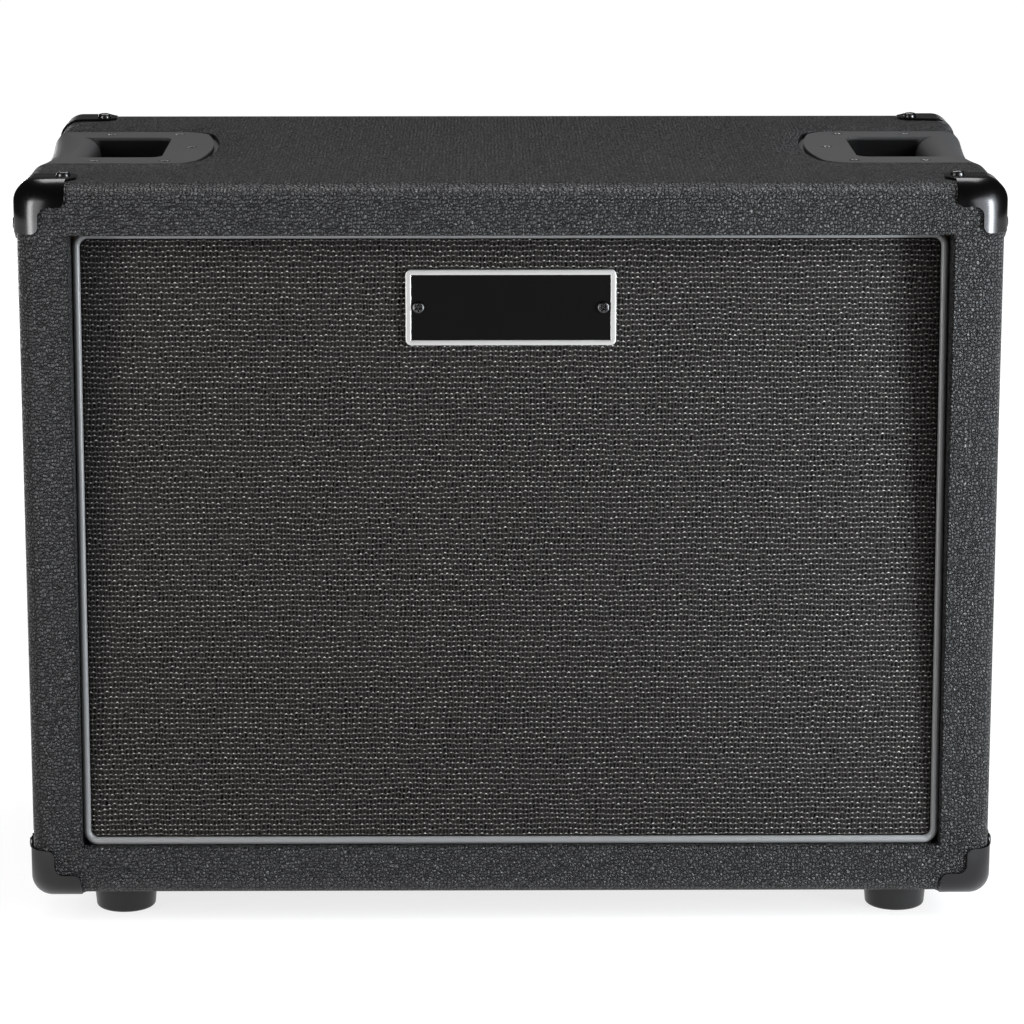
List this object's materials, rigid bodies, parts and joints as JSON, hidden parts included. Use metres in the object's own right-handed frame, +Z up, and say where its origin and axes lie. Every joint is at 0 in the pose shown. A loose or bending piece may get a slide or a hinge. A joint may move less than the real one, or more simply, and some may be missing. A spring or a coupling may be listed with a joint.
{
  "type": "guitar speaker cabinet",
  "caption": "Closed-back guitar speaker cabinet covered in black vinyl, with a slanted speckled grille, bare badge plate, metal corners, wrap-around edge handles and a rear jack dish.",
  "frame": {"origin": "on the floor under the middle of the cabinet's bounding box", "axes": "+Z up, -Y out of the grille, +X to the right as seen from the front"},
  "size_m": [0.5478, 0.303, 0.4279],
  "materials": {
    "plywood": "birch plywood",
    "back_board": "plywood painted black",
    "vinyl": "grained vinyl covering",
    "grille_weave": "black weave with silver specks",
    "piping": "smooth vinyl bead",
    "fastener_pad": "hook and loop",
    "badge": "black field with a bright border",
    "corner_metal": "black coated steel",
    "dark_screw": "black oxide",
    "zinc_screw": "zinc plated",
    "handle_plastic": "moulded, fine texture",
    "foot_rubber": "moulded rubber",
    "jack_metal": "nickel plated",
    "basket_steel": "painted pressed steel",
    "plated_steel": "zinc plated",
    "ferrite": "ferrite",
    "gasket": "cork rubber",
    "cone_paper": "pressed paper pulp",
    "treated_cloth": "doped cloth",
    "coil": "copper winding on a former",
    "terminal_board": "laminate with plated tags",
    "tinsel": "braided copper",
    "lead": "insulated wire",
    "clip": "nylon"
  },
  "bodies": {
    "cabinet": {"top_panel": "plywood", "bottom_panel": "plywood", "left_side_panel": "plywood", "right_side_panel": "plywood", "baffle_board": "plywood", "front_lip_top": "plywood", "front_lip_bottom": "plywood", "front_lip_left": "plywood", "front_lip_right": "plywood", "rear_cleats": "plywood", "grille_frame": "plywood", "back_panel": "back_board", "vinyl_covering": "vinyl", "grille_cloth": "grille_weave", "grille_piping": "piping", "grille_fastener_pads": "fastener_pad", "badge_plate": "badge", "corner_front_top_left": "corner_metal", "corner_front_top_right": "corner_metal", "corner_front_bottom_left": "corner_metal", "corner_front_bottom_right": "corner_metal", "corner_back_top_left": "corner_metal", "corner_back_top_right": "corner_metal", "corner_back_bottom_left": "corner_metal", "corner_back_bottom_right": "corner_metal", "corner_screws": "dark_screw", "handle_screws": "dark_screw", "badge_screws": "dark_screw", "back_panel_screws": "dark_screw", "jack_dish_screws": "dark_screw", "baffle_screws": "zinc_screw", "foot_screws": "zinc_screw", "foot_washers": "zinc_screw", "speaker_bolts": "zinc_screw", "tee_nuts": "zinc_screw", "left_handle": "handle_plastic", "right_handle": "handle_plastic", "jack_dish": "handle_plastic", "foot_front_left": "foot_rubber", "foot_front_right": "foot_rubber", "foot_back_left": "foot_rubber", "foot_back_right": "foot_rubber", "jack_socket": "jack_metal", "jack_nut": "jack_metal", "speaker_basket": "basket_steel", "magnet_front_plate": "plated_steel", "magnet_yoke": "plated_steel", "magnet_ring": "ferrite", "speaker_gasket": "gasket", "cone_surround": "treated_cloth", "spider": "treated_cloth", "speaker_terminals": "terminal_board", "tinsel_leads": "tinsel", "speaker_lead": "lead", "lead_clip": "clip"},
    "cone": {"speaker_cone": "cone_paper", "dust_cap": "cone_paper", "voice_coil": "coil"}
  },
  "joints": [
    {"name": "cone_travel", "type": "slide", "parent": "cabinet", "child": "cone", "axis": [0, -0.999, 0.0436], "range_m": [-0.003, 0.003], "stiffness_N_per_m": 6000, "deforming": ["cone_surround", "spider", "tinsel_leads"]}
  ]
}
